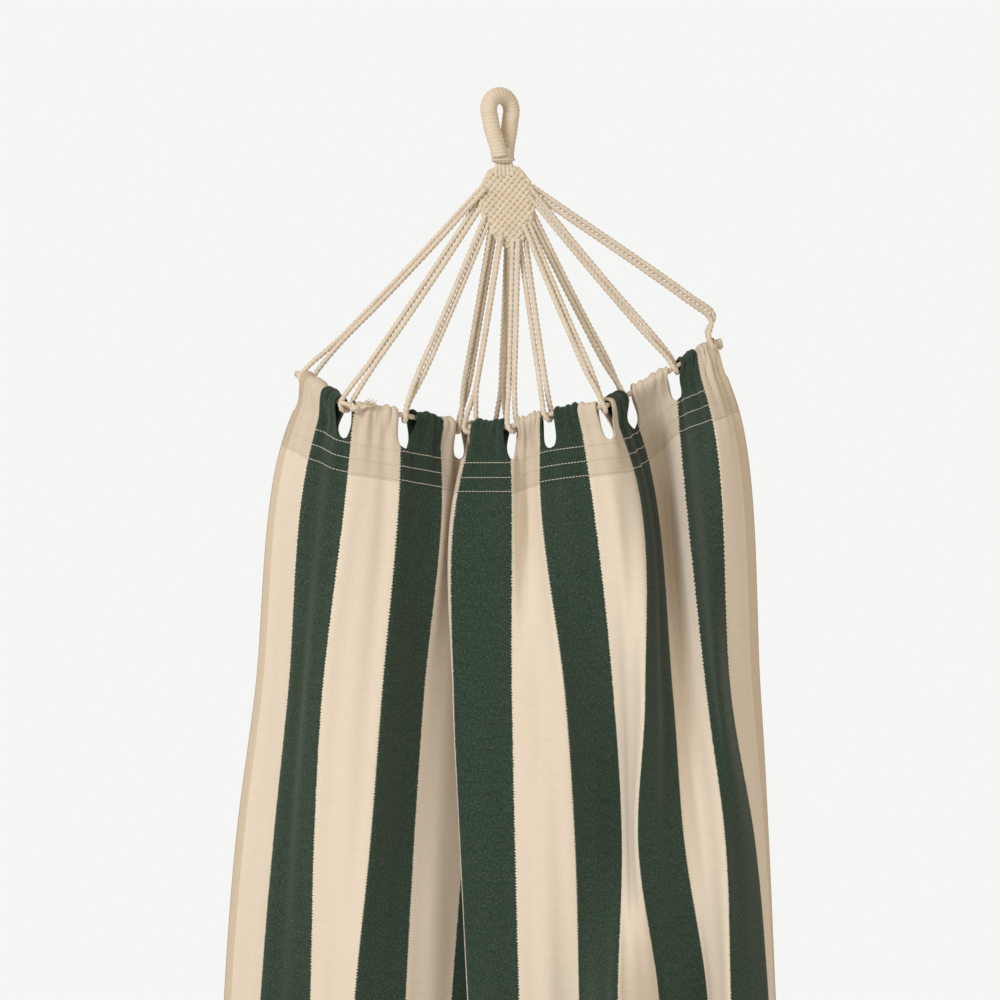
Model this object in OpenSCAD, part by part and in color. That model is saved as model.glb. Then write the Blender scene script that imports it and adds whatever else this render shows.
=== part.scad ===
// Rope hammock: a striped cloth bed gathered on a header rope at each end. Pairs of twisted
// cords fan out from each header rope to a plaited clew, which ends in a whipped loop.
// It hangs from its upper loop. +Z is up, +X runs across the bed, and -Y is the front.
// The origin is the inside of the upper loop's crown, where a hook carries it.

/* [Bed] */
// Width of one woven stripe; the bed has 15 of them side by side
stripe_w = 67; // [64:0.5:70]
// Length of the cloth from one header rope to the other
bed_l = 2000; // [1900:10:2100]
// Thickness of the plain cloth solids
cloth_t = 2; // [1.5:0.1:2.5]

/* [Hem] */
// Depth of the doubled hem below the header rope
hem_h = 75; // [70:1:84]
// Depth of the notches that let the cords reach the header rope
slot_h = 37; // [34:1:46]
// Width of a notch, along the header rope
slot_w = 24; // [22:0.5:26]

/* [Ropes] */
// Diameter of a suspension cord
cord_d = 6; // [5:0.1:6]
// Diameter of a header rope
rope_d = 6; // [5:0.1:6.5]
// Drop from a loop's crown to the lowest point of its header rope
drop = 362; // [340:1:380]

/* [Loops] */
// Thickness of a whipped loop leg
leg_d = 19; // [16:0.5:20]
// Radius of the loop's crown, to the middle of its leg
crown_r = 16.5; // [15:0.5:18]
// Turn of the upper loop about the vertical
loop_turn = 40; // [0:1:60]

/* [Folds] */
// Largest bend of the bed at each fold line, either way
fold_max = 45; // [15:1:50]

/* [Hidden] */
$fn = 32;

natural = "#e0cdb0";
dark_green = "#2d4b3c";
thread = "#efe8d8";

// ---- Plan of the folds ----
// The cloth's folds are set by where its stripe edges lie, in stripe widths: SEAM counts
// stripes from the left edge, and each FOLD row gives [x, y] there, seen from above.
SEAM = [0, 1, 2, 3, 4, 5, 5.5, 6, 6.9, 7, 8, 8.5, 9, 9.5, 10, 10.5, 11, 12, 12.4, 13, 13.5, 14, 15];
stripes = 15;
// Mean depth of the folds, which is taken off so that the bed hangs under its loop
mean_y = 0.40;
FOLD_HEM = [[-3.66, 1.23], [-3.18, 0.41], [-2.52, -0.16], [-1.67, 0.08], [-0.97, 0.66],
    [-0.36, 1.44], [-0.03, 1.77], [-0.16, 1.31], [-0.84, 0.66], [-0.69, 0.56], [0.20, 0.16],
    [0.43, 0.52], [0.66, 0.13], [1.07, -0.10], [1.48, -0.20], [1.87, -0.22], [2.23, 0.16],
    [2.47, 1.08], [2.70, 1.34], [3.00, 0.74], [3.26, 0.25], [3.52, 0.00], [3.97, 0.74]];
FOLD_1 = [[-4.11, 1.39], [-3.51, 0.61], [-2.95, -0.13], [-1.95, -0.08], [-1.28, 0.64],
    [-0.49, 1.26], [-0.10, 1.56], [-0.20, 1.08], [-0.84, 0.46], [-0.79, 0.38], [0.21, 0.25],
    [0.64, 0.00], [1.07, -0.16], [1.48, 0.13], [1.90, 0.08], [2.13, -0.30], [2.38, -0.66],
    [2.86, 0.13], [3.02, 0.46], [3.44, 0.07], [3.62, -0.26], [3.83, 0.33], [4.36, 1.11]];
FOLD_2 = [[-4.44, 1.48], [-3.76, 0.74], [-3.08, 0.00], [-2.14, -0.20], [-1.44, 0.49],
    [-0.62, 1.03], [-0.20, 1.23], [-0.16, 0.77], [-0.71, 0.13], [-0.69, 0.03], [0.25, -0.03],
    [0.74, -0.13], [1.23, -0.07], [1.66, 0.20], [2.05, 0.30], [2.15, -0.16], [2.25, -0.62],
    [3.05, -0.08], [3.33, 0.08], [3.72, -0.25], [4.00, 0.08], [4.25, 0.57], [4.52, 1.48]];
FOLD_3 = [[-4.64, 1.56], [-3.97, 0.75], [-3.13, 0.16], [-2.39, -0.36], [-1.56, 0.13],
    [-0.81, 0.79], [-0.33, 0.90], [0.00, 0.62], [-0.59, 0.08], [-0.56, 0.00], [0.31, -0.25],
    [0.82, -0.20], [1.32, -0.03], [1.64, -0.39], [1.93, -0.69], [2.26, -0.36], [2.61, 0.07],
    [3.46, 0.41], [3.57, 0.08], [3.79, -0.41], [4.12, -0.13], [4.46, 0.33], [4.62, 1.28]];
FOLD_MID = [[-4.70, 1.40], [-4.12, 0.65], [-3.45, 0.00], [-2.60, -0.35], [-1.85, 0.15],
    [-1.20, 0.80], [-0.80, 1.00], [-0.45, 0.75], [-0.25, 0.00], [-0.20, -0.08], [0.55, -0.50],
    [0.98, -0.30], [1.35, 0.00], [1.72, -0.25], [2.10, -0.55], [2.50, -0.40], [2.80, 0.00],
    [3.35, 0.65], [3.60, 0.45], [3.95, -0.05], [4.25, -0.30], [4.55, -0.05], [4.85, 0.85]];
FOLD_LOW = [[-4.60, 1.10], [-4.10, 0.30], [-3.50, -0.30], [-2.75, -0.10], [-2.30, 0.70],
    [-1.60, 1.05], [-1.20, 0.80], [-1.00, 0.35], [-0.60, -0.40], [-0.55, -0.45], [0.30, -0.15],
    [0.60, 0.20], [0.85, 0.65], [1.20, 0.95], [1.60, 0.70], [1.85, 0.30], [2.10, -0.10],
    [2.90, -0.40], [3.25, -0.20], [3.60, 0.30], [3.85, 0.70], [4.15, 1.00], [4.60, 0.30]];
// Half of the lower header's width, in stripe widths
low_half = 3.9;

// Where the cords hold the upper header rope: [stripes from the left edge, x, y, rise]
HOLD = [[0, -3.25, 1.15, 58], [1.8, -2.57, -0.08, 26], [3.1, -1.56, 0.13, 15],
    [4.5, -0.70, 0.98, 4], [5.7, 0.08, 1.64, 0], [6.85, -0.54, 0.62, 3], [8.05, 0.21, 0.13, 3],
    [9.25, 0.79, 0.08, 16], [10.6, 1.72, -0.20, 25], [11.9, 2.05, 0.75, 36],
    [13.0, 2.93, 0.82, 70], [15, 3.56, 1.15, 95]];
// The place in the clew that each of those cords comes from, counted from the left
PLACE = [0, 1, 2, 3, 5, 4, 6, 7, 8, 9, 10, 11];
// Where cords enter the right half of a clew, from the bottom: [x, drop below the neck]
ENTRY = [[4, 87], [12.5, 81], [20, 71], [26, 58], [30, 37], [28, 24]];

// ---- Derived places ----
top_z = -drop;
low_z = top_z - bed_l;
low_eye_z = low_z - drop;
fold_1_z = top_z - 0.34 * bed_l;
fold_2_z = top_z - 0.67 * bed_l;
neck_drop = 70;
// Room for the clew to swing under the neck binding
neck_gap = 5.8;
clew_h = 88;
clew_t = 2 * cord_d;
clew_lean = 6;
upper_neck = [4, 0, -neck_drop];
lower_neck = [0, 0, low_eye_z + neck_drop];
core_d = leg_d - 6.5;
tunnel_d = rope_d + 4;
notch = slot_w / 2 / stripe_w;
ring_r = (rope_d + cord_d) / 2 + 0.7;
knot_d = 11;

function depth(y) = (y - mean_y) * stripe_w;
function row(fold, z) = [for (p = fold) [p.x * stripe_w, depth(p.y), z]];
function column(table, k) = [for (r = table) [r[0], r[k]]];
function seam_column(fold, k) = [for (i = [0:len(SEAM) - 1]) [SEAM[i], fold[i][k]]];
function at_rope(s) = [lookup(s, column(HOLD, 1)) * stripe_w, depth(lookup(s, column(HOLD, 2))),
    top_z + lookup(s, column(HOLD, 3))];
function at_hem(s) = [lookup(s, seam_column(FOLD_HEM, 0)) * stripe_w,
    depth(lookup(s, seam_column(FOLD_HEM, 1))), at_rope(s).z - hem_h];
function at_notch(s) = let (f = slot_h / hem_h) at_rope(s) * (1 - f) + at_hem(s) * f;
function at_low(s, z) = [(s / stripes * 2 - 1) * low_half * stripe_w, 0, z];
function low_hold(k) = k == 0 ? -(low_half * stripe_w + slot_w / 2)
    : k == 11 ? low_half * stripe_w + slot_w / 2 : (k / 11 * 2 - 1) * low_half * stripe_w;
function bezel(row, z, side) = [for (p = row) [p.x, p.y, z + side * (1.5 + abs(p.y) * tan(fold_max / 2 + 1))]];
function between(a, b, f) = [for (i = [0:len(a) - 1]) a[i] * (1 - f) + b[i] * f];
function spread(a, b, n) = [for (i = [0:n]) a + (b - a) * i / n];

// ---- Shapes that repeat ----
function unit(v) = v / norm(v);

// A round bar from p to q
module bar(p, q, d) {
    v = q - p;
    translate(p) rotate([0, acos(v.z / norm(v)), atan2(v.y, v.x)]) cylinder(h = norm(v), d = d);
}

// Rings of n points, d across, along a path. No part of the path runs along ref.
function rings(path, d, ref, n) = [for (i = [0:len(path) - 1]) let (
    t = unit(path[min(i + 1, len(path) - 1)] - path[max(i - 1, 0)]),
    a = unit(cross(t, ref)), b = cross(t, a))
    each [for (k = [0:n - 1]) path[i] + (a * cos(360 * k / n) + b * sin(360 * k / n)) * d / 2]];
function ring_sides(rows, n, first, out) = [for (j = [0:rows - 2], k = [0:n - 1]) let (
    a = first + j * n + k, b = first + j * n + (k + 1) % n)
    each out ? [[a, a + n, b + n], [a, b + n, b]] : [[a, b + n, a + n], [a, b, b + n]]];

// A cord of diameter d along a path
module cord(path, d, ref = [0, 1, 0], n = 8) {
    last = (len(path) - 1) * n;
    polyhedron(rings(path, d, ref, n), concat(ring_sides(len(path), n, 0, true),
        [[for (k = [0:n - 1]) k], [for (k = [n - 1:-1:0]) last + k]]));
}

// A sleeve along a path, d across outside and bore across inside
module sleeve(path, d, bore, ref = [0, 1, 0], n = 12) {
    m = len(path) * n;
    last = m - n;
    polyhedron(concat(rings(path, d, ref, n), rings(path, bore, ref, n)),
        concat(ring_sides(len(path), n, 0, true), ring_sides(len(path), n, m, false),
        [for (k = [0:n - 1]) let (b = (k + 1) % n) each [[k, b, m + b], [k, m + b, m + k],
            [last + k, last + m + b, last + b], [last + k, last + m + k, last + m + b]]]));
}

// The direction across a row of points at its point i, seen from above
function across(r, i) = let (v = r[min(i + 1, len(r) - 1)] - r[max(i - 1, 0)], n = norm([v.x, v.y]))
    [-v.y / n, v.x / n, 0];

// A sheet of thickness t through rows of points, the top row first
module sheet(rows, t = cloth_t) {
    n = len(rows[0]);
    points = [for (r = rows) each concat(
        [for (i = [0:n - 1]) r[i] - across(r, i) * t / 2],
        [for (i = [n - 1:-1:0]) r[i] + across(r, i) * t / 2])];
    m = 2 * n;
    sides = [for (j = [0:len(rows) - 2], i = [0:m - 1]) let (a = j * m + i, b = j * m + (i + 1) % m)
        each i < n ? [[a, b, b + m], [a, b + m, a + m]] : [[a, b, a + m], [b, b + m, a + m]]];
    last = (len(rows) - 1) * m;
    caps = [for (i = [0:n - 2]) each [[i, m - 1 - i, m - 2 - i], [i, m - 2 - i, i + 1],
        [last + i, last + m - 2 - i, last + m - 1 - i], [last + i, last + i + 1, last + m - 2 - i]]];
    polyhedron(points, concat(sides, caps));
}

// A doubled cord comes from a, turns round the rope at b, which runs along v, and goes back.
// The slack cord also passes through extra points on its way.
function bight(a, b, v, extra = []) = let (
    last = len(extra) - 1, from = last < 0 ? a : extra[last], u = unit(from - b),
    up = unit(u - v * (u * v)), front = cross(v, up),
    u0 = unit(a - (last < 0 ? b : extra[0])), w = unit(v - u0 * (u0 * v)) * cord_d * 0.55)
    concat([a - w], [for (e = extra) e - w],
    [for (i = [0:7]) let (g = i * 180 / 7)
        b + v * cord_d * 1.1 * (i / 7 - 0.5) + (front * cos(g) - up * sin(g)) * ring_r],
    [for (i = [last:-1:0]) extra[i] + w], [a + w]);

// ---- Loop, neck and clew, from the crown down, before they are placed ----
centre_z = leg_d / 2 - crown_r;
leg_end = [7, 0, -neck_drop + neck_gap + 0.6];
leg_top = [crown_r * cos(20), 0, centre_z - crown_r * sin(20)];
wrap_end = 0.66;
crown = [for (g = [200:-20:-20]) [crown_r * cos(g), 0, centre_z + crown_r * sin(g)]];
function leg_point(side, f) = let (p = leg_top * (1 - f) + leg_end * f) [side * p.x, 0, p.z];

module loop_core() { color(natural) cord(concat([leg_point(-1, 1)], crown, [leg_point(1, 1)]), core_d, n = 12); }
module loop_whipping() {
    color(natural) sleeve(concat([leg_point(-1, wrap_end)], crown, [leg_point(1, wrap_end)]), leg_d, core_d + 0.8);
}

// Turns of cord that bind both legs together, under the whipping
module neck_binding() {
    color(natural) difference() {
        translate([0, 0, -neck_drop + neck_gap]) cylinder(h = 15, d = core_d * 2 + 4);
        for (side = [-1, 1])
            bar(leg_point(side, 0.5), leg_point(side, 1.5), core_d + 0.8);
    }
}

// The plaited pad that the cords run into, as an outline of half widths down from the neck
CLEW_HALF = [[0, 14], [8, 20], [19, 27], [33, 31], [50, 29], [63, 24], [77, 17], [88, 9]];
module clew() {
    color(natural) rotate([90, 0, 0]) translate([0, 0, -clew_t / 2]) linear_extrude(clew_t)
        polygon(concat([for (p = CLEW_HALF) [p[1], -p[0]]],
            [for (i = [len(CLEW_HALF) - 1:-1:0]) [-CLEW_HALF[i][1], -CLEW_HALF[i][0]]]));
}

// The point where cord number k enters a clew whose neck is at the origin
function entry(k) = let (e = k < 6 ? ENTRY[5 - k] : ENTRY[k - 6], side = k < 6 ? -1 : 1)
    [side * e[0], (k % 2 * 2 - 1) * cord_d * 0.55, -e[1]];
function lean_by(p, a) = [p.x * cos(a) - p.z * sin(a), p.y, p.x * sin(a) + p.z * cos(a)];

module place_upper_end() { rotate([0, 0, loop_turn]) children(); }
module place_upper_clew() { translate(upper_neck) rotate([0, -clew_lean, 0]) children(); }
module place_lower_end() { translate([0, 0, low_eye_z]) rotate([180, 0, 0]) children(); }
module place_lower_clew() { translate(lower_neck) rotate([180, 0, 0]) children(); }

// ---- Upper end ----
function hold_dir(k) = let (a = at_rope(HOLD[max(k - 1, 0)][0]), b = at_rope(HOLD[min(k + 1, 11)][0])) (b - a) / norm(b - a);
// The last cord is slack: it bends over before it reaches the rope
SLACK = [[209, 38, -213], [238, 50, -236]];

module upper_cord(k) {
    a = upper_neck + lean_by(entry(PLACE[k]), clew_lean);
    v = hold_dir(k);
    b = at_rope(HOLD[k][0]);
    color(natural) cord(bight(a, b, v, k == 11 ? SLACK : []), cord_d, v);
}

module upper_header_rope() {
    first = at_rope(0) - hold_dir(0) * 12;
    last = at_rope(stripes) + hold_dir(11) * 12;
    color(natural) cord(concat([first], [for (h = HOLD) at_rope(h[0])], [last]), rope_d);
}

module upper_rope_knots() {
    color(natural) {
        translate(at_rope(0) - hold_dir(0) * 14) sphere(d = knot_d);
        translate(at_rope(stripes) + hold_dir(11) * 14) sphere(d = knot_d);
    }
}

module hem_tunnels(ends) {
    for (e = ends) difference() {
        bar(e[0], e[1], tunnel_d);
        bar(e[0] * 1.2 - e[1] * 0.2, e[1] * 1.2 - e[0] * 0.2, rope_d + 0.6);
    }
}

function tab_from(k) = HOLD[k][0] + notch;
function tab_to(k) = HOLD[k + 1][0] - notch;
module upper_hem_tunnel() {
    color(natural) hem_tunnels([for (k = [0:10]) [at_rope(tab_from(k) + 0.08), at_rope(tab_to(k) - 0.08)]]);
}

module upper_hem_band() {
    under = [0, 0, -tunnel_d / 2 + 0.2];
    color(dark_green) {
        for (k = [0:10]) {
            s = spread(tab_from(k), tab_to(k), 3);
            sheet([[for (x = s) at_rope(x) + under], [for (x = s) at_notch(x) + [0, 0, 0.4]]], cloth_t);
        }
        s = concat([notch], [for (x = SEAM) if (x > 0 && x < stripes) x], [stripes - notch]);
        sheet([[for (x = s) at_notch(x) + [0, 0, 0.01]], [for (x = s) at_hem(x)]], cloth_t);
    }
}

// Three rows of thread on the front of a hem, as thin raised strips
module stitch_rows(rows) {
    color(thread) for (r = rows) {
        front = [for (i = [0:len(r) - 1]) r[i] - across(r, i) * (cloth_t / 2 + 0.1)];
        sheet([[for (p = front) p + [0, 0, 0.4]], [for (p = front) p - [0, 0, 0.4]]], 0.8);
    }
}

function upper_stitch(f) = [for (x = SEAM) let (s = max(notch * 2, min(stripes - notch * 2, x)))
    at_notch(s) * (1 - f) + at_hem(s) * f];
module upper_hem_stitching() { stitch_rows([for (f = [0.06, 0.5, 0.92]) upper_stitch(f)]); }

// ---- Bed, in three lengths that meet at two fold lines ----
hem_row = [for (x = SEAM) at_hem(x)];
function even_low(x) = at_low(x, low_z + hem_h);
row_1 = row(FOLD_1, top_z - 294);
row_2 = row(FOLD_2, top_z - 459);
row_3 = row(FOLD_3, top_z - 624);
row_mid = row(FOLD_MID, top_z - 1000);
row_low = row(FOLD_LOW, top_z - 0.78 * bed_l);
row_end = [for (x = SEAM) even_low(x)];
function cut(a, b, z) = between(a, b, (a[0].z - z) / (a[0].z - b[0].z));
cut_1 = cut(row_3, row_mid, fold_1_z);
cut_2 = cut(row_mid, row_low, fold_2_z);

module bed_upper() { color(dark_green) sheet([hem_row, row_1, row_2, row_3, bezel(cut_1, fold_1_z, 1)]); }
module bed_middle() { color(dark_green) sheet([bezel(cut_1, fold_1_z, -1), row_mid, bezel(cut_2, fold_2_z, 1)]); }
module bed_lower() { color(dark_green) sheet([bezel(cut_2, fold_2_z, -1), row_low, row_end]); }

// ---- Lower end ----
function low_from(k) = k == 0 ? 0 : k / 11 * stripes + slot_w / 2 / (2 * low_half * stripe_w) * stripes;
function low_to(k) = k == 10 ? stripes : (k + 1) / 11 * stripes - slot_w / 2 / (2 * low_half * stripe_w) * stripes;

module lower_hem_tunnel() {
    color(natural) hem_tunnels([for (k = [0:10]) [at_low(low_from(k), low_z), at_low(low_to(k), low_z)]]);
}

module lower_hem_band() {
    color(dark_green) {
        for (k = [0:10]) {
            ends = [low_from(k), low_to(k)];
            sheet([[for (x = ends) at_low(x, low_z + slot_h)],
                [for (x = ends) at_low(x, low_z + tunnel_d / 2 - 0.2)]]);
        }
        sheet([row_end, [for (x = SEAM) at_low(x, low_z + slot_h - 0.01)]]);
    }
}

module lower_hem_stitching() {
    stitch_rows([for (f = [0.08, 0.5, 0.94])
        [for (x = [0.2, stripes - 0.2]) at_low(x, low_z + hem_h * f + slot_h * (1 - f))]]);
}

module lower_header_rope() {
    half = low_half * stripe_w + slot_w + 6;
    color(natural) bar([-half, 0, low_z], [half, 0, low_z], rope_d);
}

module lower_rope_knots() {
    for (side = [-1, 1])
        color(natural) translate([side * (low_half * stripe_w + slot_w + knot_d / 2), 0, low_z]) sphere(d = knot_d);
}

module lower_cord(k) {
    e = entry(k);
    a = lower_neck + [e.x, -e.y, -e.z];
    color(natural) cord(bight(a, [low_hold(k), 0, low_z], [1, 0, 0]), cord_d, [1, 0, 0]);
}

place_upper_end() loop_core();  // upper_loop_core
place_upper_end() loop_whipping();  // upper_loop_whipping
place_upper_end() neck_binding();  // upper_neck_binding
place_upper_clew() clew();  // upper_clew
for (k = [0:11]) upper_cord(k);
upper_header_rope();
upper_rope_knots();
upper_hem_tunnel();
upper_hem_band();
upper_hem_stitching();
bed_upper();
bed_middle();
bed_lower();
lower_hem_stitching();
lower_hem_band();
lower_hem_tunnel();
lower_rope_knots();
lower_header_rope();
for (k = [0:11]) lower_cord(k);
place_lower_clew() clew();  // lower_clew
place_lower_end() neck_binding();  // lower_neck_binding
place_lower_end() loop_whipping();  // lower_loop_whipping
place_lower_end() loop_core();  // lower_loop_core
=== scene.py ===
import math
import bpy
import numpy as np
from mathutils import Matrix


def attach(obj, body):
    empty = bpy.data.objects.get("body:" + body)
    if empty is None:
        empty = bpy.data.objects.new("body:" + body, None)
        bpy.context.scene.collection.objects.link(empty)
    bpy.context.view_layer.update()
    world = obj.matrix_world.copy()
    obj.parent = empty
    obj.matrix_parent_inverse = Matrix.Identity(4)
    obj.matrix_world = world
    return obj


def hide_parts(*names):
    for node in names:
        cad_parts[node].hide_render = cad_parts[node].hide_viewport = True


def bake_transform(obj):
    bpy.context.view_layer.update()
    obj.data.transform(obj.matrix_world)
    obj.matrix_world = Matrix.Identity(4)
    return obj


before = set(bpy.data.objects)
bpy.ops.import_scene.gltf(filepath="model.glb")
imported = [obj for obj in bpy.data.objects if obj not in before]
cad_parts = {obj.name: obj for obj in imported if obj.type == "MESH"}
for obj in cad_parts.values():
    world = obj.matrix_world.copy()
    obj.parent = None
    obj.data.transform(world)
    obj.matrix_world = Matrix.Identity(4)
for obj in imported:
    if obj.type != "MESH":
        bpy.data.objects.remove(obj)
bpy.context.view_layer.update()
rng = np.random.default_rng(7)

# ---- Sizes, as in the CAD source, in metres ----
W = 0.067                   # one stripe
BED = 2.0
HEM = 0.075
SLOT = 0.037
NOTCH = 0.012 / W           # half of a notch, in stripes
DROP = 0.362                # from the inside of a loop to its header rope
ROPE_R = 0.003
CORD_R = 0.003
LOW_HALF = 3.9              # half of the lower header rope inside the hem, in stripes
TOP = -DROP
LOW = TOP - BED
EYE = LOW - DROP
NECK = 0.070
TURN = math.radians(40)     # the upper loop is turned on its neck
CLEW_LEAN = math.radians(6)
CLEW_AT = np.array([0.004, 0, -NECK])
MEAN_Y = 0.40               # middle of the folds' depth, in stripes

# The cloth: each seam's place across it, then (metres below the rope, [x, y] of each seam, in stripes)

SEAM = [0, 1, 2, 3, 4, 5, 5.5, 6, 6.9, 7, 8, 8.5, 9, 9.5, 10, 10.5, 11, 12, 12.4, 13, 13.5, 14, 15]
ROWS = [
    (HEM, [[-3.66, 1.23], [-3.18, 0.41], [-2.52, -0.16], [-1.67, 0.08], [-0.97, 0.66],
     [-0.36, 1.44], [-0.03, 1.77], [-0.16, 1.31], [-0.84, 0.66], [-0.69, 0.56], [0.20, 0.16],
     [0.43, 0.52], [0.66, 0.13], [1.07, -0.10], [1.48, -0.20], [1.87, -0.22], [2.23, 0.16],
     [2.47, 1.08], [2.70, 1.34], [3.00, 0.74], [3.26, 0.25], [3.52, 0.00], [3.97, 0.74]]),
    (0.294, [[-4.11, 1.39], [-3.51, 0.61], [-2.95, -0.13], [-1.95, -0.08], [-1.28, 0.64],
     [-0.49, 1.26], [-0.10, 1.56], [-0.20, 1.08], [-0.84, 0.46], [-0.79, 0.38], [0.21, 0.25],
     [0.64, 0.00], [1.07, -0.16], [1.48, 0.13], [1.90, 0.08], [2.13, -0.30], [2.38, -0.66],
     [2.86, 0.13], [3.02, 0.46], [3.44, 0.07], [3.62, -0.26], [3.83, 0.33], [4.36, 1.11]]),
    (0.459, [[-4.44, 1.48], [-3.76, 0.74], [-3.08, 0.00], [-2.14, -0.20], [-1.44, 0.49],
     [-0.62, 1.03], [-0.20, 1.23], [-0.16, 0.77], [-0.71, 0.13], [-0.69, 0.03], [0.25, -0.03],
     [0.74, -0.13], [1.23, -0.07], [1.66, 0.20], [2.05, 0.30], [2.15, -0.16], [2.25, -0.62],
     [3.05, -0.08], [3.33, 0.08], [3.72, -0.25], [4.00, 0.08], [4.25, 0.57], [4.52, 1.48]]),
    (0.624, [[-4.64, 1.56], [-3.97, 0.75], [-3.13, 0.16], [-2.39, -0.36], [-1.56, 0.13],
     [-0.81, 0.79], [-0.33, 0.90], [0.00, 0.62], [-0.59, 0.08], [-0.56, 0.00], [0.31, -0.25],
     [0.82, -0.20], [1.32, -0.03], [1.64, -0.39], [1.93, -0.69], [2.26, -0.36], [2.61, 0.07],
     [3.46, 0.41], [3.57, 0.08], [3.79, -0.41], [4.12, -0.13], [4.46, 0.33], [4.62, 1.28]]),
    (1.0, [[-4.70, 1.40], [-4.12, 0.65], [-3.45, 0.00], [-2.60, -0.35], [-1.85, 0.15],
     [-1.20, 0.80], [-0.80, 1.00], [-0.45, 0.75], [-0.25, 0.00], [-0.20, -0.08], [0.55, -0.50],
     [0.98, -0.30], [1.35, 0.00], [1.72, -0.25], [2.10, -0.55], [2.50, -0.40], [2.80, 0.00],
     [3.35, 0.65], [3.60, 0.45], [3.95, -0.05], [4.25, -0.30], [4.55, -0.05], [4.85, 0.85]]),
    (1.56, [[-4.60, 1.10], [-4.10, 0.30], [-3.50, -0.30], [-2.75, -0.10], [-2.30, 0.70],
     [-1.60, 1.05], [-1.20, 0.80], [-1.00, 0.35], [-0.60, -0.40], [-0.55, -0.45], [0.30, -0.15],
     [0.60, 0.20], [0.85, 0.65], [1.20, 0.95], [1.60, 0.70], [1.85, 0.30], [2.10, -0.10],
     [2.90, -0.40], [3.25, -0.20], [3.60, 0.30], [3.85, 0.70], [4.15, 1.00], [4.60, 0.30]]),
]
# Each upper cord's place on the rope: stripes from the left edge, x and y in stripes, height in mm
HOLD = np.array([[0, -3.25, 1.15, 58], [1.8, -2.57, -0.08, 26], [3.1, -1.56, 0.13, 15],
    [4.5, -0.70, 0.98, 4], [5.7, 0.08, 1.64, 0], [6.85, -0.54, 0.62, 3], [8.05, 0.21, 0.13, 3],
    [9.25, 0.79, 0.08, 16], [10.6, 1.72, -0.20, 25], [11.9, 2.05, 0.75, 36],
    [13.0, 2.93, 0.82, 70], [15, 3.56, 1.15, 95]])
# The pad's entries: which one each cord takes, and their places out from and down the middle, mm
PLACE = [0, 1, 2, 3, 5, 4, 6, 7, 8, 9, 10, 11]
ENTRY = [[4, 87], [12.5, 81], [20, 71], [26, 58], [30, 37], [28, 24]]
CORNER_OUT, CORNER_DOWN = 32, 31   # where the right-hand corner cord leaves the upper pad, mm
SLACK = np.array([[209, 38, -213], [238, 50, -236]]) / 1000
# How far down the pad, and its half width there, mm
CLEW_HALF = np.array([[0, 14], [8, 20], [19, 27], [33, 31], [50, 29], [63, 24], [77, 17], [88, 9]]) / 1000

# ---- Materials ----
def nodes(name, base=(0.8, 0.7, 0.55, 1), rough=0.9, sheen=0.2):
    m = bpy.data.materials.new(name)
    m.use_nodes = True
    t = m.node_tree
    b = t.nodes["Principled BSDF"]
    b.inputs["Base Color"].default_value = base
    b.inputs["Roughness"].default_value = rough
    b.inputs["Specular IOR Level"].default_value = 0.15
    b.inputs["Sheen Weight"].default_value = sheen
    b.inputs["Sheen Roughness"].default_value = 0.6
    return m, t, b

def add(t, kind, links=(), **values):
    n = t.nodes.new(kind)
    for k, v in values.items():
        setattr(n, k, v)
    for socket, source in links:
        s = n.inputs[socket]
        if isinstance(source, (int, float, tuple)):
            s.default_value = source
        else:
            t.links.new(source, s)
    return n

def math_node(t, op, a, b=0.0):
    return add(t, "ShaderNodeMath", [(0, a), (1, b)], operation=op).outputs[0]

def mix(t, f, a, b, blend="MIX"):
    n = add(t, "ShaderNodeMix", data_type="RGBA", blend_type=blend)
    for i, v in ((0, f), (6, a), (7, b)):
        if isinstance(v, (int, float, tuple)):
            n.inputs[i].default_value = v
        else:
            t.links.new(v, n.inputs[i])
    return n.outputs[2]

def ramp(t, f, low, high):
    links = [(0, f), (1, low), (2, high), (3, 0.0), (4, 1.0)]
    return add(t, "ShaderNodeMapRange", links, clamp=True).outputs[0]

def noise(t, vec, scale, detail=2.0, rough=0.5):
    links = [("Vector", vec), ("Scale", scale), ("Detail", detail), ("Roughness", rough)]
    return add(t, "ShaderNodeTexNoise", links).outputs["Fac"]

NATURAL = (0.775, 0.685, 0.575, 1)

def cord_material(name, tint=(1, 1, 1)):
    base = tuple(NATURAL[i] * tint[i] for i in range(3)) + (1,)
    m, t, b = nodes(name, base)
    co = add(t, "ShaderNodeTexCoord").outputs["Object"]
    fibre = noise(t, co, 1400.0, 3.0, 0.6)
    patch = noise(t, co, 60.0, 2.0)
    dark = tuple(c * k for c, k in zip(base[:3], (0.74, 0.69, 0.60))) + (1,)
    col = mix(t, ramp(t, fibre, 0.35, 0.62), dark, base)
    col = mix(t, math_node(t, "MULTIPLY", ramp(t, patch, 0.35, 0.7), 0.25), col, (0.90, 0.82, 0.71, 1))
    t.links.new(col, b.inputs["Base Color"])
    bump = add(t, "ShaderNodeBump", [("Height", fibre), ("Strength", 0.5), ("Distance", 0.0006)])
    t.links.new(bump.outputs[0], b.inputs["Normal"])
    return m

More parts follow.
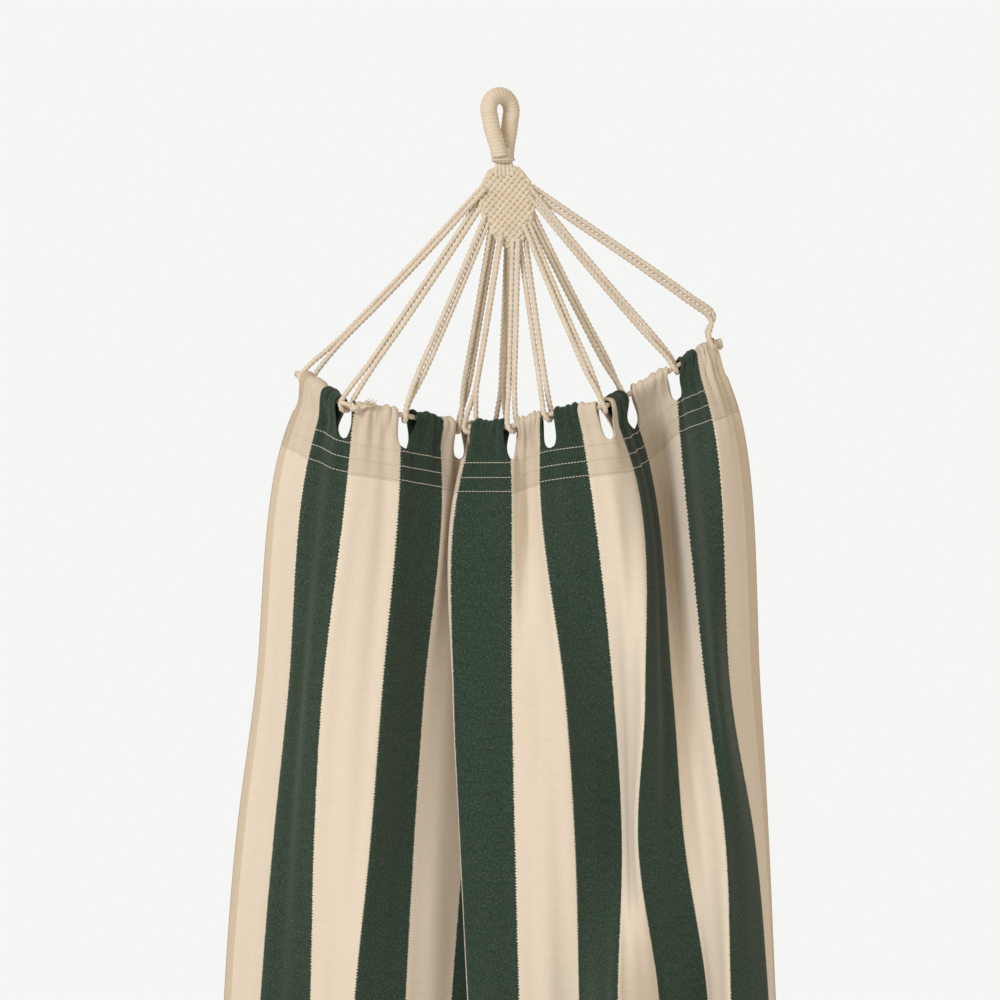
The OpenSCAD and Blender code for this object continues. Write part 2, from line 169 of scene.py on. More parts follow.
def cloth_material(name):
    m, t, b = nodes(name, NATURAL, 0.92, 0.15)
    uv = add(t, "ShaderNodeUVMap", uv_map="cloth").outputs[0]
    sep = add(t, "ShaderNodeSeparateXYZ", [(0, uv)])
    s, d = sep.outputs[0], sep.outputs[1]
    x = math_node(t, "MULTIPLY", s, W * 1000)
    y = math_node(t, "MULTIPLY", d, 1000.0)
    def plane(ax, ay, off=0.0):
        across, down = math_node(t, "MULTIPLY", x, ax), math_node(t, "MULTIPLY", y, ay)
        return add(t, "ShaderNodeCombineXYZ", [(0, across), (1, down), (2, off)]).outputs[0]
    tooth = math_node(t, "PINGPONG", y, 1.7)
    edge = math_node(t, "MULTIPLY", math_node(t, "SUBTRACT", tooth, 0.85), 0.016)
    wob = math_node(t, "MULTIPLY", math_node(t, "SUBTRACT", noise(t, plane(0.02, 0.5), 1.0), 0.5), 0.05)
    sp = math_node(t, "ADD", math_node(t, "ADD", s, edge), wob)
    green = math_node(t, "GREATER_THAN", math_node(t, "FRACT", math_node(t, "MULTIPLY", sp, 0.5)), 0.5)
    inside = math_node(t, "LESS_THAN", sp, 14.5)
    green = math_node(t, "MULTIPLY", green, inside)
    # Threads: warp runs down the cloth and weft across it, in a fine diagonal twill
    warp = noise(t, plane(1.1, 0.12), 1.0, 2.0)
    weft = noise(t, plane(0.10, 0.9, 7.0), 1.0, 2.0)
    speck = noise(t, plane(0.8, 0.42, 3.0), 1.0, 3.0, 0.65)
    slub = noise(t, plane(0.03, 0.28, 9.0), 1.0, 2.0)
    broad = noise(t, plane(0.02, 0.006, 5.0), 1.0, 2.0)
    diagonal = math_node(t, "ADD", x, math_node(t, "MULTIPLY", y, 0.8))
    twill = math_node(t, "SINE", math_node(t, "MULTIPLY", diagonal, 3.3))
    nat = mix(t, math_node(t, "MULTIPLY", ramp(t, warp, 0.35, 0.7), 0.35), NATURAL, (0.70, 0.60, 0.48, 1))
    nat = mix(t, math_node(t, "MULTIPLY", ramp(t, slub, 0.55, 0.72), 0.25), nat, (0.66, 0.55, 0.43, 1))
    nat = mix(t, math_node(t, "MULTIPLY", ramp(t, weft, 0.5, 0.75), 0.2), nat, (0.84, 0.76, 0.65, 1))
    nat = mix(t, math_node(t, "MULTIPLY", ramp(t, broad, 0.4, 0.7), 0.18), nat, (0.73, 0.63, 0.51, 1))
    grn = mix(t, ramp(t, warp, 0.3, 0.7), (0.009, 0.026, 0.016, 1), (0.028, 0.058, 0.037, 1))
    grn = mix(t, math_node(t, "MULTIPLY", ramp(t, speck, 0.54, 0.68), 0.55), grn, (0.17, 0.19, 0.15, 1))
    grn = mix(t, math_node(t, "MULTIPLY", ramp(t, twill, 0.2, 1.0), 0.22), grn, (0.05, 0.085, 0.06, 1))
    grn = mix(t, math_node(t, "MULTIPLY", ramp(t, slub, 0.5, 0.75), 0.3), grn, (0.006, 0.024, 0.015, 1))
    # Painted shade: the doubled hem bands at both ends are greyed, standing in for the light that passes
    # through the single cloth and not through the hem
    hem = math_node(t, "MAXIMUM", math_node(t, "LESS_THAN", d, HEM),
                    math_node(t, "GREATER_THAN", d, BED - HEM))
    nat = mix(t, math_node(t, "MULTIPLY", hem, 0.8), nat, (0.81, 0.79, 0.76, 1), "MULTIPLY")
    grn = mix(t, math_node(t, "MULTIPLY", hem, 0.5), grn, (0.75, 0.78, 0.78, 1), "MULTIPLY")
    col = mix(t, green, nat, grn)
    # Painted shade: the turned side edges are two layers thick, and a band along each is darkened to a
    # deeper colour
    side = math_node(t, "MAXIMUM", math_node(t, "LESS_THAN", s, 0.24),
                     math_node(t, "GREATER_THAN", s, 14.76))
    col = mix(t, math_node(t, "MULTIPLY", side, 0.75), col, (0.82, 0.75, 0.66, 1), "MULTIPLY")
    t.links.new(col, b.inputs["Base Color"])
    h = math_node(t, "ADD", math_node(t, "ADD", warp, weft), math_node(t, "MULTIPLY", twill, 0.25))
    bump = add(t, "ShaderNodeBump", [("Height", h), ("Strength", 0.45), ("Distance", 0.0007)])
    t.links.new(bump.outputs[0], b.inputs["Normal"])
    return m

M_CORD = cord_material("suspension_cord_cotton")
M_ROPE = cord_material("header_rope_cotton", (0.98, 0.97, 0.95))
M_WHIP = cord_material("whipping_yarn", (1.0, 0.985, 0.96))
M_CLEW = cord_material("plaited_cotton", (1.0, 0.99, 0.97))
M_THREAD, t_thread, b_thread = nodes("stitch_thread", (0.72, 0.66, 0.55, 1), 0.8)
thread_fibre = noise(t_thread, add(t_thread, "ShaderNodeTexCoord").outputs["Object"], 900.0)
thread_colour = mix(t_thread, thread_fibre, (0.58, 0.52, 0.42, 1), (0.76, 0.70, 0.59, 1))
t_thread.links.new(thread_colour, b_thread.inputs["Base Color"])
M_CLOTH = cloth_material("striped_cotton")

# ---- Meshes ----
def new_mesh(name, verts, faces, material, uv=None):
    me = bpy.data.meshes.new(name)
    me.from_pydata([tuple(v) for v in verts], [], faces)
    me.update()
    me.polygons.foreach_set("use_smooth", [True] * len(me.polygons))
    if uv is not None:
        layer = me.uv_layers.new(name="cloth")
        loops = np.empty(len(me.loops), dtype=np.int32)
        me.loops.foreach_get("vertex_index", loops)
        layer.data.foreach_set("uv", np.asarray(uv, dtype=np.float32)[loops].ravel())
    o = bpy.data.objects.new(name, me)
    bpy.context.scene.collection.objects.link(o)
    me.materials.append(material)
    return o

def unit(v):
    return v / np.linalg.norm(v)

def hermite(u, a, b, ta, tb):
    """From a to b as u goes from 0 to 1, leaving along ta and arriving along tb."""
    return ((2 * u**3 - 3 * u**2 + 1) * a + (u**3 - 2 * u**2 + u) * ta
            + (3 * u**2 - 2 * u**3) * b + (u**3 - u**2) * tb)

def smooth_path(points, step):
    """Points step apart on a curve through the given points."""
    p = np.asarray(points, float)
    p = np.vstack([2 * p[0] - p[1], p, 2 * p[-1] - p[-2]])
    out = []
    for i in range(1, len(p) - 2):
        a, b, c, d = p[i - 1], p[i], p[i + 1], p[i + 2]
        ta = max(np.linalg.norm(b - a), 1e-6) ** 0.5
        tb = max(np.linalg.norm(c - b), 1e-6) ** 0.5
        tc = max(np.linalg.norm(d - c), 1e-6) ** 0.5
        m1 = (c - b) - tb * ((c - a) / (ta + tb) - (b - a) / ta)
        m2 = (c - b) + tb * ((d - c) / tc - (d - b) / (tb + tc))
        n = max(int(np.linalg.norm(c - b) / step * 2), 4)
        u = np.linspace(0, 1, n, endpoint=False)[:, None]
        out.append(hermite(u, b, c, m1, m2))
    out = np.vstack(out + [p[-2][None]])
    length = np.r_[0, np.cumsum(np.linalg.norm(np.diff(out, axis=0), axis=1))]
    n = max(int(length[-1] / step), 2)
    at = np.linspace(0, length[-1], n + 1)
    return np.stack([np.interp(at, length, out[:, k]) for k in range(3)], 1), at

def tube(path, at, radius, sides=12, profile=None, taper=0.0):
    """Vertices and faces of a tube along a path. profile(angle, distance) scales its radius."""
    t = np.gradient(path, axis=0)
    t /= np.linalg.norm(t, axis=1)[:, None]
    a = np.cross(t[0], [0.3, 0.9, 0.2])
    verts = np.empty((len(path), sides, 3))
    ang = np.arange(sides) * 2 * math.pi / sides
    for i in range(len(path)):
        a = a - t[i] * (a @ t[i])
        a = unit(a)
        b = np.cross(t[i], a)
        r = radius * (profile(ang, at[i]) if profile else 1.0)
        if taper:
            e = min(at[i], at[-1] - at[i]) / taper
            if e < 1:
                r = r * math.sqrt(max(1 - (1 - e) ** 2, 0.02))
        r = np.broadcast_to(r, ang.shape)
        verts[i] = path[i] + a * (np.cos(ang) * r)[:, None] + b * (np.sin(ang) * r)[:, None]
    faces = []
    for i in range(len(path) - 1):
        for k in range(sides):
            k2 = (k + 1) % sides
            faces.append((i * sides + k, i * sides + k2, (i + 1) * sides + k2, (i + 1) * sides + k))
    last = (len(path) - 1) * sides
    faces.append(tuple(range(sides - 1, -1, -1)))
    faces.append(tuple(last + k for k in range(sides)))
    return verts.reshape(-1, 3), faces

def join_parts(parts):
    verts, faces, n = [], [], 0
    for v, f in parts:
        verts.append(v)
        faces += [tuple(i + n for i in q) for q in f]
        n += len(v)
    return np.vstack(verts), faces

def twisted(pitch, depth=0.16):
    return lambda ang, at: 1 - depth + depth * np.cos(3 * (ang - 2 * math.pi * at / pitch)) + 0.02

def rope(points, radius=CORD_R, pitch=0.0175, step=0.0016, sides=12, taper=0.0, depth=0.17):
    p, at = smooth_path(points, step)
    return tube(p, at, radius * 1.06, sides, twisted(pitch, depth), taper)

def slot_ride(o, body, slot, *replaced):
    if replaced:
        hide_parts(*replaced)
    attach(o, body)
    return o

# ---- The cloth's surface ----
fine = np.linspace(0, 15, 1501)
kernel = np.exp(-0.5 * (np.arange(-30, 31) / 8.0) ** 2)
kernel /= kernel.sum()

def soften(values):
    pad = np.r_[2 * values[0] - values[30:0:-1], values, 2 * values[-1] - values[-2:-32:-1]]
    return np.convolve(pad, kernel, "valid")

def depth_of(y):
    return (y - MEAN_Y) * W

rope_x = soften(np.interp(fine, HOLD[:, 0], HOLD[:, 1])) * W
rope_y = depth_of(soften(np.interp(fine, HOLD[:, 0], HOLD[:, 2])))
rope_z = TOP + soften(np.interp(fine, HOLD[:, 0], HOLD[:, 3])) / 1000
low_x = (fine / 15 * 2 - 1) * LOW_HALF * W
knots = [0.0] + [r[0] for r in ROWS] + [BED - HEM, BED]
zero = 0 * fine

def seams(column):
    return [soften(np.interp(fine, SEAM, np.array(r[1])[:, column])) for r in ROWS]

KX = [rope_x] + [x * W for x in seams(0)] + [low_x, low_x]
KY = [rope_y] + [depth_of(y) for y in seams(1)] + [zero, zero]
KZ = [rope_z, rope_z - HEM] + [TOP - r[0] + zero for r in ROWS[1:]] + [LOW + HEM + zero, LOW + zero]
K = np.stack([np.array(KX), np.array(KY), np.array(KZ)], -1)
knots = np.array(knots)

def base(s, d):
    """The cloth's middle surface at s stripes from the left edge and d metres below the upper rope."""
    s, d = np.broadcast_arrays(np.asarray(s, float), np.asarray(d, float))
    shape = s.shape
    s, d = s.ravel(), d.ravel()
    V = np.stack([[np.interp(s, fine, K[r, :, c]) for c in range(3)] for r in range(len(knots))])
    T = np.empty_like(V)
    T[0] = (V[1] - V[0]) / (knots[1] - knots[0])
    T[-1] = (V[-1] - V[-2]) / (knots[-1] - knots[-2])
    for r in range(1, len(knots) - 1):
        h0, h1 = knots[r] - knots[r - 1], knots[r + 1] - knots[r]
        T[r] = (h1 * (V[r] - V[r - 1]) / h0 + h0 * (V[r + 1] - V[r]) / h1) / (h0 + h1)
    i = np.clip(np.searchsorted(knots, d, "right") - 1, 0, len(knots) - 2)
    h = (knots[i + 1] - knots[i])
    u = (d - knots[i]) / h
    idx = np.arange(len(d))
    out = np.empty((len(d), 3))
    for c in range(3):
        a, b = V[i, c, idx], V[i + 1, c, idx]
        ta, tb = T[i, c, idx] * h, T[i + 1, c, idx] * h
        out[:, c] = hermite(u, a, b, ta, tb)
    return out.reshape(shape + (3,))

def step01(x):
    x = np.clip(x, 0, 1)
    return x * x * (3 - 2 * x)

# Soft wrinkles: wavelength in stripes, phase, drift down the cloth and strength
WAVES = [(rng.uniform(0.45, 1.6), rng.uniform(0, 6.28), rng.uniform(-2.5, 2.5), rng.uniform(0.5, 1.0))
         for _ in range(9)]

def out_of(s, d):
    """The direction away from the viewer across the cloth, level."""
    e = 0.03
    v = base(np.clip(s + e, 0, 15), d) - base(np.clip(s - e, 0, 15), d)
    n = np.stack([-v[..., 1], v[..., 0], 0 * v[..., 0]], -1)
    return n / np.maximum(np.linalg.norm(n, axis=-1, keepdims=True), 1e-9)

def ripple(s, d):
    """Gathers by each rope, and soft wrinkles that run down the cloth."""
    up = np.exp(-d / 0.030)
    r = 0.0034 * up * np.sin(2 * math.pi * s / 0.29 + 0.8 * np.sin(s * 2.1))
    r += 0.0020 * np.exp(-d / 0.10) * np.sin(2 * math.pi * s / 0.61 + 1.3 * np.sin(s * 1.3))
    low = BED - d
    gather = step01((d - 1.45) / 0.42)
    r += (0.0105 * gather * (1 - 0.7 * np.exp(-low / 0.03))
          * np.sin(2 * math.pi * s / 0.86 + 0.9 * np.sin(s * 0.9)))
    r += 0.0032 * np.exp(-low / 0.03) * np.sin(2 * math.pi * s / 0.29)
    soft = 0
    for wave, phase, drift, amp in WAVES:
        soft = soft + amp * np.sin(2 * math.pi * s / wave + phase + drift * d * 2.2)
    r += 0.00055 * soft * step01(d / 0.1) * step01(low / 0.1)
    return r

TUN = 0.0052        # half of the gap between the plies at the rope
PLY_GAP = 0.0017    # how far the back ply is set behind the front one

def surface(s, d, layer=0.0):
    """A point of the cloth. layer -1 is the front and +1 the back ply near a rope's tunnel."""
    s, d = np.broadcast_arrays(np.asarray(s, float), np.asarray(d, float))
    near = np.minimum(d, BED - d)
    n = out_of(s, d)
    r = ripple(s, d)
    at = 1 - step01(near / 0.030)
    off = layer * at * (TUN + 0.8 * np.abs(r)) + (1 - at) * r + (PLY_GAP if layer > 0 else 0.0)
    return base(s, d) + n * off[..., None]

def over(s, phi, upper=True):
    """The cloth round the rope, from the front (phi 0) over to the back (phi pi)."""
    d = 0.0 if upper else BED
    s, phi = np.broadcast_arrays(np.asarray(s, float), np.asarray(phi, float))
    n = out_of(s, d + 0 * s)
    c = base(s, d + 0 * s)
    R = TUN + 0.8 * np.abs(ripple(s, d + 0 * s))
    back = PLY_GAP * phi / math.pi
    up = np.array([0, 0, 1.0 if upper else -1.0])
    return c - n * (R * np.cos(phi))[..., None] + n * back[..., None] + up * (R * np.sin(phi))[..., None]

def cloth(name, holds, upper, d_end):
    """One length of cloth with its notched, doubled hem. holds are the notches, in stripes."""
    groups = len(holds) - 1
    per = [max(int(round((holds[g + 1] - holds[g]) * 20)), 8) for g in range(groups)]
    verts, uvs, faces = [], [], []
    def half(dn, g, side):
        if (side < 0 and g == 0) or (side > 0 and g == groups - 1):
            return 0.02
        return NOTCH * math.sqrt(max(1 - (dn / SLOT) ** 4, 0)) if dn < SLOT else 0.0
    rows = []
    for dn in np.linspace(0.0735, SLOT, 6):
        rows.append(("back", dn))
    for dn in SLOT * (1 - np.linspace(0.04, 1, 12) ** 1.5)[:-1]:
        rows.append(("back", dn))
    for phi in np.linspace(math.pi, 0, 9):
        rows.append(("over", phi))
    for dn in SLOT * (np.linspace(0, 1, 13)[1:-1] ** 0.7):
        rows.append(("front", dn))
    for dn in np.r_[np.arange(SLOT, d_end, 0.0065), d_end]:
        rows.append(("front", dn))
    index = []
    for kind, q in rows:
        dn = q if kind != "over" else 0.0
        split = kind == "over" or dn < SLOT - 1e-9
        row = []
        for g in range(groups):
            lo = holds[g] + (half(dn, g, -1) if split else 0)
            hi = holds[g + 1] - (half(dn, g, 1) if split else 0)
            s = np.linspace(lo, hi, per[g] + 1)
            if not split and g > 0:
                s = s[1:]
            d = dn if upper else BED - dn
            if kind == "over":
                p = over(s, q, upper)
            else:
                p = surface(s, d, 1 if kind == "back" else -1)
            start = len(verts)
            verts.extend(p)
            uvs.extend([(x, d) for x in s])
            ids = list(range(start, start + len(s)))
            if not split and g > 0:
                ids = [row[-1][-1]] + ids
            row.append(ids)
        index.append(row)
    for a, b in zip(index[:-1], index[1:]):
        for g in range(groups):
            for k in range(per[g]):
                q = (a[g][k], a[g][k + 1], b[g][k + 1], b[g][k])
                faces.append(q if upper else q[::-1])
    o = new_mesh(name, np.array(verts), faces, M_CLOTH, uvs)
    m = o.modifiers.new("thickness", "SOLIDIFY")
    m.thickness = 0.0013
    m.offset = 0.0
    return o

MID = 0.5 * (0.34 + 0.67) * BED     # where the two lengths of cloth meet
upper_holds = HOLD[:, 0].tolist()
lower_holds = [15 * k / 11 for k in range(12)]
head = cloth("bed_cloth_upper", upper_holds, True, MID)
foot = cloth("bed_cloth_lower", lower_holds, False, BED - MID)
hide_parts("bed_upper", "bed_middle", "upper_hem_tunnel", "upper_hem_band")
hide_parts("bed_lower", "lower_hem_tunnel", "lower_hem_band")
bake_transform(head)
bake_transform(foot)

# ---- Stitches ----
def stitches(name, upper, body, node):
    parts = []
    for dn in (0.0400, 0.0565, 0.0720):
        for side, off in ((-1, 0.0011), (1, 0.0012)):
            for s0 in np.arange(0.12, 14.9, 0.062):
                s = np.array([s0, s0 + 0.012, s0 + 0.036, s0 + 0.046])
                d = dn if upper else BED - dn
                p = surface(s, d + 0 * s, side)
                n = out_of(s, d + 0 * s)
                lift = np.array([-0.0006, off, off, -0.0006]) * side
                p = p + n * lift[:, None]
                parts.append(tube(p, np.arange(4) * 0.001, 0.0005, 5))
    v, f = join_parts(parts)
    return slot_ride(new_mesh(name, v, f, M_THREAD), body, "thread", node)

stitches("hem_stitches_upper", True, "upper_end", "upper_hem_stitching")
stitches("hem_stitches_lower", False, "bed_foot", "lower_hem_stitching")

# ---- Suspension cords ----
def entry(k, corner_low=False):
    e = ENTRY[5 - k] if k < 6 else ENTRY[k - 6]
    if k == 11 and corner_low:
        e = [CORNER_OUT, CORNER_DOWN]
    return np.array([e[0] * (-1 if k < 6 else 1), (k % 2 * 2 - 1) * 3.3, -e[1]]) / 1000

def lean(p):
    """Tilts a point, or rows of points, as the upper pad leans."""
    x, y, z = p[..., 0], p[..., 1], p[..., 2]
    c, s = math.cos(CLEW_LEAN), math.sin(CLEW_LEAN)
    return np.stack([x * c - z * s, y, x * s + z * c], -1)

def at_rope(k):
    return base(HOLD[k, 0], 0.0)

def along(a, b, f, sag):
    """The point a share f of the way from a to b, on a run that sags."""
    return a * (1 - f) + b * f + np.array([0, 0, -sag * math.sin(math.pi * f)])

def bight(a, b, v, extra=()):
    """A cord from a, once round a rope at b that runs along v, and back. extra are bends on the way."""
    frm = extra[-1] if len(extra) else a
    u = unit(frm - b)
    up = unit(u - v * (u @ v))
    fr = np.cross(v, up)
    if fr[1] > 0:
        fr, v = -fr, -v
    first = extra[0] if len(extra) else b
    u0 = unit(a - first)
    w = unit(v - u0 * (u0 @ v)) * 0.0034
    R = ROPE_R + CORD_R + 0.0002
    pts = [a - w + u0 * 0.006]
    if len(extra):
        pts += [e - w for e in extra]
    else:
        for f in (0.3, 0.6, 0.85):
            pts.append(along(a - w, b - w + up * 0.016, f, 0.0025))
    pts.append(b + up * 0.013 - w * 0.9 + fr * R * 0.75)
    for i in range(9):
        g = -0.25 + i * (math.pi + 0.5) / 8
        pts.append(b + v * 0.0066 * (i / 8 - 0.5) + (fr * math.cos(g) - up * math.sin(g)) * R)
    pts.append(b + up * 0.013 + w * 0.9 - fr * R * 0.75)
    if len(extra):
        pts += [e + w for e in extra[::-1]]
    else:
        for f in (0.85, 0.6, 0.3):
            pts.append(along(a + w, b + w + up * 0.016, f, 0.0035))
    pts.append(a + w + u0 * 0.006)
    return pts

for k in range(12):
    a = CLEW_AT + lean(entry(PLACE[k], True))
    v = unit(at_rope(min(k + 1, 11)) - at_rope(max(k - 1, 0)))
    pts = bight(a, at_rope(k), v, SLACK if k == 11 else ())
    verts, faces = rope(pts)
    cord = new_mesh(f"suspension_cord_upper_{k + 1:02d}", verts, faces, M_CORD)
    slot_ride(cord, "upper_end", "suspension_cord", f"upper_cord_{k + 1:02d}")
    e = entry(k)
    a = np.array([e[0], -e[1], EYE + NECK - e[2]])
    edge = LOW_HALF * W + 0.012
    x = -edge if k == 0 else edge if k == 11 else (k / 11 * 2 - 1) * LOW_HALF * W
    verts, faces = rope(bight(a, np.array([x, 0, LOW]), np.array([1.0, 0, 0])), step=0.0022)
    cord = new_mesh(f"suspension_cord_lower_{k + 1:02d}", verts, faces, M_CORD)
    slot_ride(cord, "lower_end", "suspension_cord", f"lower_cord_{k + 1:02d}")

# ---- Header ropes and their knots ----
def knot(centre, size=0.0031, turn=0.0):
    t = np.linspace(0, 2 * math.pi, 40)[:-1]
    trefoil = [np.sin(t) + 2 * np.sin(2 * t), np.cos(t) - 2 * np.cos(2 * t), -1.2 * np.sin(3 * t)]
    p = np.stack(trefoil, 1) * size * 0.72
    c, s = math.cos(turn), math.sin(turn)
    p = p @ np.array([[c, 0, -s], [0, 1, 0], [s, 0, c]])
    return rope(list(p + centre) + [p[0] + centre], 0.0027, step=0.0014)

def frayed(start, direction, n=16, length=0.016):
    parts = []
    for _ in range(n):
        a = start + rng.normal(0, 0.0011, 3)
        b = a + (unit(direction) + rng.normal(0, 0.28, 3)) * length * rng.uniform(0.5, 1.0)
        p, at = smooth_path([a, (a + b) / 2 + rng.normal(0, 0.0009, 3), b], 0.002)
        parts.append(tube(p, at, 0.0004, 5))
    return parts

first, last = at_rope(0), at_rope(11)
d0, d1 = unit(at_rope(0) - at_rope(1)), unit(at_rope(11) - at_rope(10))
run = [first + d0 * 0.012] + list(base(np.linspace(0, 15, 76), 0.0)) + [last + d1 * 0.012]
v, f = rope(run, ROPE_R)
slot_ride(new_mesh("header_rope_upper", v, f, M_ROPE), "upper_end", "header_rope", "upper_header_rope")
tail = surface(2.05, 0.004, -1) + np.array([-0.002, -0.0045, 0.003])
loose = tail + np.array([[-0.017, 0.001, 0.006], [-0.008, -0.002, 0.0045], [0, 0, 0],
                         [0.009, 0.0, 0.001], [0.014, 0.001, 0.004]])
parts = [knot(first + d0 * 0.014, 0.0024),
         knot(last + d1 * 0.009 + np.array([0, 0.004, -0.003]), 0.0020, turn=0.8),
         knot(tail, 0.0024, turn=0.5), rope(loose, 0.0026)]
parts += frayed(tail + np.array([0.012, 0, 0.003]), np.array([1.0, -0.1, 0.5]), 18, 0.012)
v, f = join_parts(parts)
slot_ride(new_mesh("rope_knots_upper", v, f, M_ROPE), "upper_end", "header_rope", "upper_rope_knots")
half = LOW_HALF * W + 0.030
v, f = rope([(-half, 0, LOW), (0, 0, LOW), (half, 0, LOW)], ROPE_R)
slot_ride(new_mesh("header_rope_lower", v, f, M_ROPE), "bed_foot", "header_rope", "lower_header_rope")
parts = []
for side in (-1, 1):
    c = np.array([side * (half + 0.002), 0, LOW])
    parts += [knot(c, turn=side)] + frayed(c + [side * 0.005, 0, 0], np.array([side, 0, -0.4]))
v, f = join_parts(parts)
slot_ride(new_mesh("rope_knots_lower", v, f, M_ROPE), "bed_foot", "header_rope", "lower_rope_knots")

# ---- Loops, bindings and clews ----
NECK_LEAN = 0.0045     # the upper loop's neck stands this far to the right
CROWN_R = 0.0165
LEG_R = 0.0095
YARN_PITCH = 0.0041
def turn_z(p, a):
    c, s = math.cos(a), math.sin(a)
    return p @ np.array([[c, s, 0], [-s, c, 0], [0, 0, 1]])

def loop_parts(place):
    g = np.radians(np.arange(200, -21, -10))
    arc = np.stack([CROWN_R * np.cos(g), 0 * g, LEG_R - CROWN_R + CROWN_R * np.sin(g)], 1)
    left = np.array([[-0.0065, -0.0035, -0.058], [-0.0095, -0.003, -0.045], [-0.0135, -0.0015, -0.028]])
    right = left * [-1, -1, 1]
    p, at = smooth_path([*left, *arc, *right[::-1]], 0.00042)
    def prof(ang, d):
        x = (d / YARN_PITCH + ang / (2 * math.pi)) % 1.0
        return 0.915 + 0.085 * np.sqrt(np.clip(1 - (2 * x - 1) ** 2, 0, 1))
    v, f = tube(p, at, LEG_R, 22, prof)
    # Coils of cord that bind the legs together
    t = np.linspace(0, 5.2 * 2 * math.pi, 180)
    z = -0.0640 + 0.0138 * t / t[-1]
    r = 0.0118 + 0.0004 * np.sin(t * 0.37)
    c = np.stack([r * 1.02 * np.cos(t), r * 0.86 * np.sin(t), z], 1)
    pb, ab = smooth_path(c, 0.0012)
    vb, fb = tube(pb, ab, 0.0017, 9, twisted(0.006, 0.1), 0.003)
    fill, fa = smooth_path([(0, 0, -0.0655), (0, 0, -0.058), (0, 0, -0.049)], 0.001)
    vf, ff = tube(fill, fa, 0.0102, 20)
    vb, fb = join_parts([(vb, fb), (vf, ff)])
    return (place(v), f), (place(vb), fb)

def half_width(z):
    return np.interp(z, CLEW_HALF[:, 0], CLEW_HALF[:, 1])

def clew_parts(place):
    pitch = 0.0078
    parts = []
    for family in (1, -1):
        for i in range(-14, 20):
            z = np.arange(-0.002, 0.090, 0.0009)
            x = family * (z - i * pitch)
            inside = np.abs(x) < half_width(z) - 0.0012
            if inside.sum() < 7:
                continue
            idx = np.nonzero(inside)[0]
            z, x = z[idx[0]:idx[-1] + 1], x[idx[0]:idx[-1] + 1]
            # Over and under: the two families swap sides at each crossing
            other = (z + x * family) / pitch
            y = family * 0.0021 * np.cos(math.pi * (other + i))
            p, at = smooth_path(np.stack([x, y, -z], 1), 0.0014)
            parts.append(tube(p, at, 0.0030, 10, twisted(0.012, 0.10), 0.0035))
    # The cords that run round the pad's edge
    for side in (-1, 1):
        zz = np.linspace(0.001, 0.086, 24)
        pts = np.stack([side * (half_width(zz) - 0.001), 0.0012 * np.sin(zz * 600), -zz], 1)
        p, at = smooth_path(pts, 0.0015)
        parts.append(tube(p, at, 0.0027, 10, twisted(0.012, 0.14), 0.003))
    # Cords that rise from the pad into the binding
    for x in np.linspace(-0.008, 0.008, 5):
        for y in (-0.0028, 0.0028):
            p, at = smooth_path([(x * 1.2, y, -0.012), (x, y, 0.0), (x * 0.8, y * 0.8, 0.005)], 0.0015)
            parts.append(tube(p, at, 0.0026, 9, twisted(0.012, 0.14), 0.002))
    v, f = join_parts(parts)
    return place(v), f

def place_upper(v):
    v = turn_z(np.asarray(v), TURN)
    low = np.clip(-v[:, 2] / NECK, 0, 1)[:, None]
    return v + low ** 2 * [NECK_LEAN, 0, 0]

def place_lower(v):
    return np.asarray(v) * [1, -1, -1] + [0, 0, EYE]

def place_upper_clew(v):
    return lean(np.asarray(v)) + CLEW_AT

def place_lower_clew(v):
    return np.asarray(v) * [1, -1, -1] + [0, 0, EYE + NECK]

for end, place, place_clew in (("upper", place_upper, place_upper_clew),
                               ("lower", place_lower, place_lower_clew)):
    loop_body, end_body = f"{end}_loop", f"{end}_end"
    (v, f), (vb, fb) = loop_parts(place)
    loop = new_mesh(f"whipped_loop_{end}", v, f, M_WHIP)
    slot_ride(loop, loop_body, "whipping", f"{end}_loop_whipping", f"{end}_loop_core")
    slot_ride(new_mesh(f"neck_binding_{end}", vb, fb, M_ROPE), loop_body, "whipping", f"{end}_neck_binding")
    v, f = clew_parts(place_clew)
    slot_ride(new_mesh(f"clew_{end}", v, f, M_CLEW), end_body, "plaited_cord", f"{end}_clew")

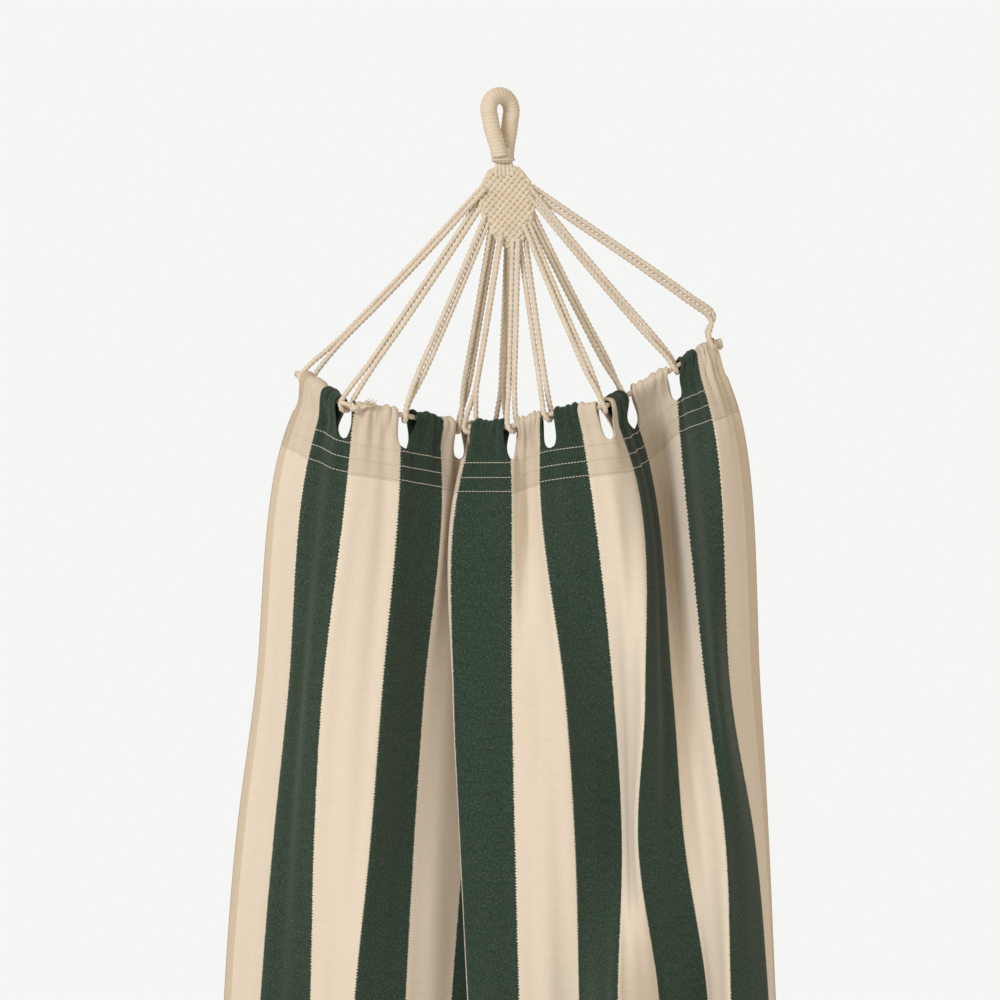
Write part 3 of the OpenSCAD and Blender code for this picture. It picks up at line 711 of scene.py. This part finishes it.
# ---- Camera, floor and light ----
cam = bpy.data.cameras.new("camera")
cam.sensor_width = 36
cam.lens = cam.sensor_width * 6.0 / 1.107     # the view is 1.107 m wide at 6 m
cam.clip_end = 50
camera = bpy.data.objects.new("camera", cam)
camera.location = (0.0, -6.03, -0.4405)
camera.rotation_euler = (math.pi / 2, 0, 0)
bpy.context.scene.collection.objects.link(camera)
bpy.context.scene.camera = camera

me = bpy.data.meshes.new("floor")
ground = EYE - 0.05
me.from_pydata([(x, y, ground) for x, y in ((-6, -6), (6, -6), (6, 6), (-6, 6))], [], [(0, 1, 2, 3)])
floor = bpy.data.objects.new("floor", me)
bpy.context.scene.collection.objects.link(floor)
fm, _, _ = nodes("floor_pale", (0.86, 0.86, 0.85, 1), 0.9, 0.0)
me.materials.append(fm)

def area(name, loc, target, size, power, color=(1, 1, 1)):
    li = bpy.data.lights.new(name, "AREA")
    li.shape = "DISK"
    li.size = size
    li.energy = power
    li.color = color
    o = bpy.data.objects.new(name, li)
    o.location = loc
    d = np.array(target, float) - np.array(loc, float)
    o.rotation_euler = (math.acos(-d[2] / np.linalg.norm(d)), 0, math.atan2(d[1], d[0]) - math.pi / 2)
    bpy.context.scene.collection.objects.link(o)
    return o

area("key", (-2.6, -3.4, 1.5), (0, 0, -0.5), 1.6, 120, (0.97, 0.985, 1.0))
area("fill", (2.8, -3.6, -0.6), (0, 0, -0.6), 2.5, 26, (0.97, 0.98, 1.0))
world = bpy.data.worlds.new("studio")
bpy.context.scene.world = world
world.use_nodes = True
# The backdrop is seen bright, and lights the cloth with a dimmer, warmer colour
wt = world.node_tree
bg = wt.nodes["Background"]
bg.inputs[0].default_value = (0.913, 0.922, 0.904, 1)
dim = wt.nodes.new("ShaderNodeBackground")
dim.inputs[0].default_value = (1.0, 0.88, 0.71, 1)
dim.inputs[1].default_value = 0.58
lp = wt.nodes.new("ShaderNodeLightPath")
mx = wt.nodes.new("ShaderNodeMixShader")
wt.links.new(lp.outputs["Is Camera Ray"], mx.inputs[0])
wt.links.new(dim.outputs[0], mx.inputs[1])
wt.links.new(bg.outputs[0], mx.inputs[2])
wt.links.new(mx.outputs[0], wt.nodes["World Output"].inputs[0])
bpy.context.scene.view_settings.view_transform = "Standard"
